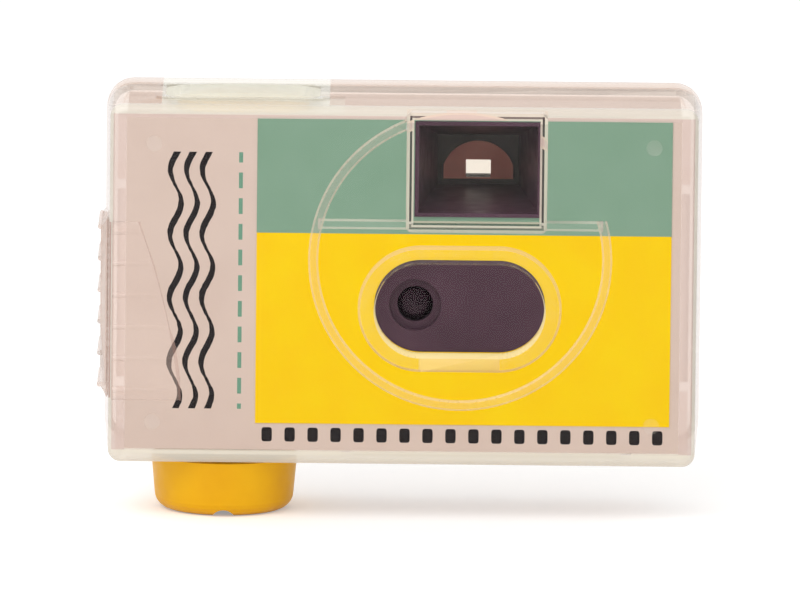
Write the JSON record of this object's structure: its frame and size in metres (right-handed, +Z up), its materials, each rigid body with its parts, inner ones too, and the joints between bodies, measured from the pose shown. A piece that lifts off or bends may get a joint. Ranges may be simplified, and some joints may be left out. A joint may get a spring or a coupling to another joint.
{
  "type": "single-use film camera",
  "caption": "Waterproof single-use film camera: clear two-shell housing, card-wrapped inner camera, winding knob underneath, membrane release on top, raised finder block.",
  "frame": {"origin": "centre of the flat rear face of the housing", "axes": "+X to the right seen from the front, +Y out of the rear face, +Z up towards the release button"},
  "size_m": [0.1212, 0.042, 0.0854],
  "materials": {
    "clear_shell": "clear, smooth",
    "seal_grey": "matt",
    "soft_white": "translucent, soft",
    "orange_plastic": "satin",
    "pale_plastic": "matt",
    "seal_black": "matt",
    "spring_steel": "bright",
    "card": "printed, coated",
    "green_print": "printed, coated",
    "yellow_print": "printed, coated",
    "black_plastic": "matt",
    "white_plastic": "satin",
    "lens_clear": "polished",
    "brown_mask": "satin",
    "cassette_paint": "printed",
    "film_base": "smooth"
  },
  "bodies": {
    "housing": {"housing_front": "clear_shell", "housing_rear": "clear_shell", "knob_gland": "clear_shell", "housing_seal": "seal_grey", "release_diaphragm": "soft_white", "gland_ring": "pale_plastic", "knob_seal": "seal_black", "shutter_pivot": "spring_steel", "shutter_spring": "spring_steel", "striker_spring": "spring_steel", "trip_pin": "spring_steel", "button_spring": "spring_steel", "card_sleeve": "card", "green_sheet": "green_print", "yellow_sheet": "yellow_print", "camera_front": "black_plastic", "camera_body": "black_plastic", "camera_back": "black_plastic", "lens_barrel": "black_plastic", "finder_tunnel": "black_plastic", "cassette_cap_top": "black_plastic", "cassette_cap_bottom": "black_plastic", "top_plate": "white_plastic", "taking_lens": "lens_clear", "finder_front_lens": "lens_clear", "finder_rear_lens": "lens_clear", "eyepiece_mask": "brown_mask", "cassette_shell": "cassette_paint", "film_strip": "film_base"},
    "winder": {"winding_knob": "orange_plastic", "knob_shaft": "pale_plastic", "knob_clip": "spring_steel", "cassette_spool": "black_plastic"},
    "supply": {"supply_spool": "black_plastic", "film_roll": "film_base"},
    "sprocket": {"sprocket_wheel": "pale_plastic", "counter_cam": "pale_plastic"},
    "counter": {"counter_disc": "pale_plastic"},
    "button": {"shutter_button": "orange_plastic"},
    "trip": {"trip_lever": "pale_plastic"},
    "kicker": {"striker": "spring_steel"},
    "blade": {"shutter_blade": "black_plastic"}
  },
  "joints": [
    {"name": "knob_turn", "type": "hinge", "parent": "housing", "child": "winder", "pos_m": [-0.0356, -0.0186, -0.04], "axis": [0, 0, 1], "continuous": true},
    {"name": "supply_turn", "type": "hinge", "parent": "housing", "child": "supply", "pos_m": [0.0375, -0.0185, -0.004], "axis": [0, 0, 1], "continuous": true},
    {"name": "sprocket_turn", "type": "hinge", "parent": "housing", "child": "sprocket", "pos_m": [-0.0157, -0.0159, 0.012], "axis": [0, 0, 1], "continuous": true},
    {"name": "counter_turn", "type": "hinge", "parent": "housing", "child": "counter", "pos_m": [-0.0287, -0.012, 0.0293], "axis": [0, 0, 1], "continuous": true},
    {"name": "button_press", "type": "slide", "parent": "housing", "child": "button", "axis": [0, 0, -1], "range_m": [0, 0.001], "stiffness_N_per_m": 1500, "springref_m": -0.001, "deforming": ["button_spring", "release_diaphragm"]},
    {"name": "trip_swing", "type": "hinge", "parent": "housing", "child": "trip", "pos_m": [-0.0125, -0.0206, 0.02775], "axis": [0, -1, 0], "range_deg": [0, 9]},
    {"name": "striker_swing", "type": "hinge", "parent": "housing", "child": "kicker", "pos_m": [-0.0035, -0.0181, 0.0266], "axis": [0, 0, 1], "range_deg": [0, 11], "stiffness_Nm_per_rad": 0.002, "springref_deg": -5.73},
    {"name": "shutter_swing", "type": "hinge", "parent": "housing", "child": "blade", "pos_m": [-0.007, -0.0277, 0.017], "axis": [0, 1, 0], "range_deg": [0, 15], "stiffness_Nm_per_rad": 0.001, "springref_deg": -5.73}
  ],
  "couplings": [
    {"joint": "supply_turn", "follows": "knob_turn", "ratio": 0.78},
    {"joint": "sprocket_turn", "follows": "knob_turn", "ratio": 1.16},
    {"joint": "counter_turn", "follows": "knob_turn", "ratio": -0.0414},
    {"joint": "trip_swing", "follows": "button_press", "rad_per_m": 156}
  ]
}
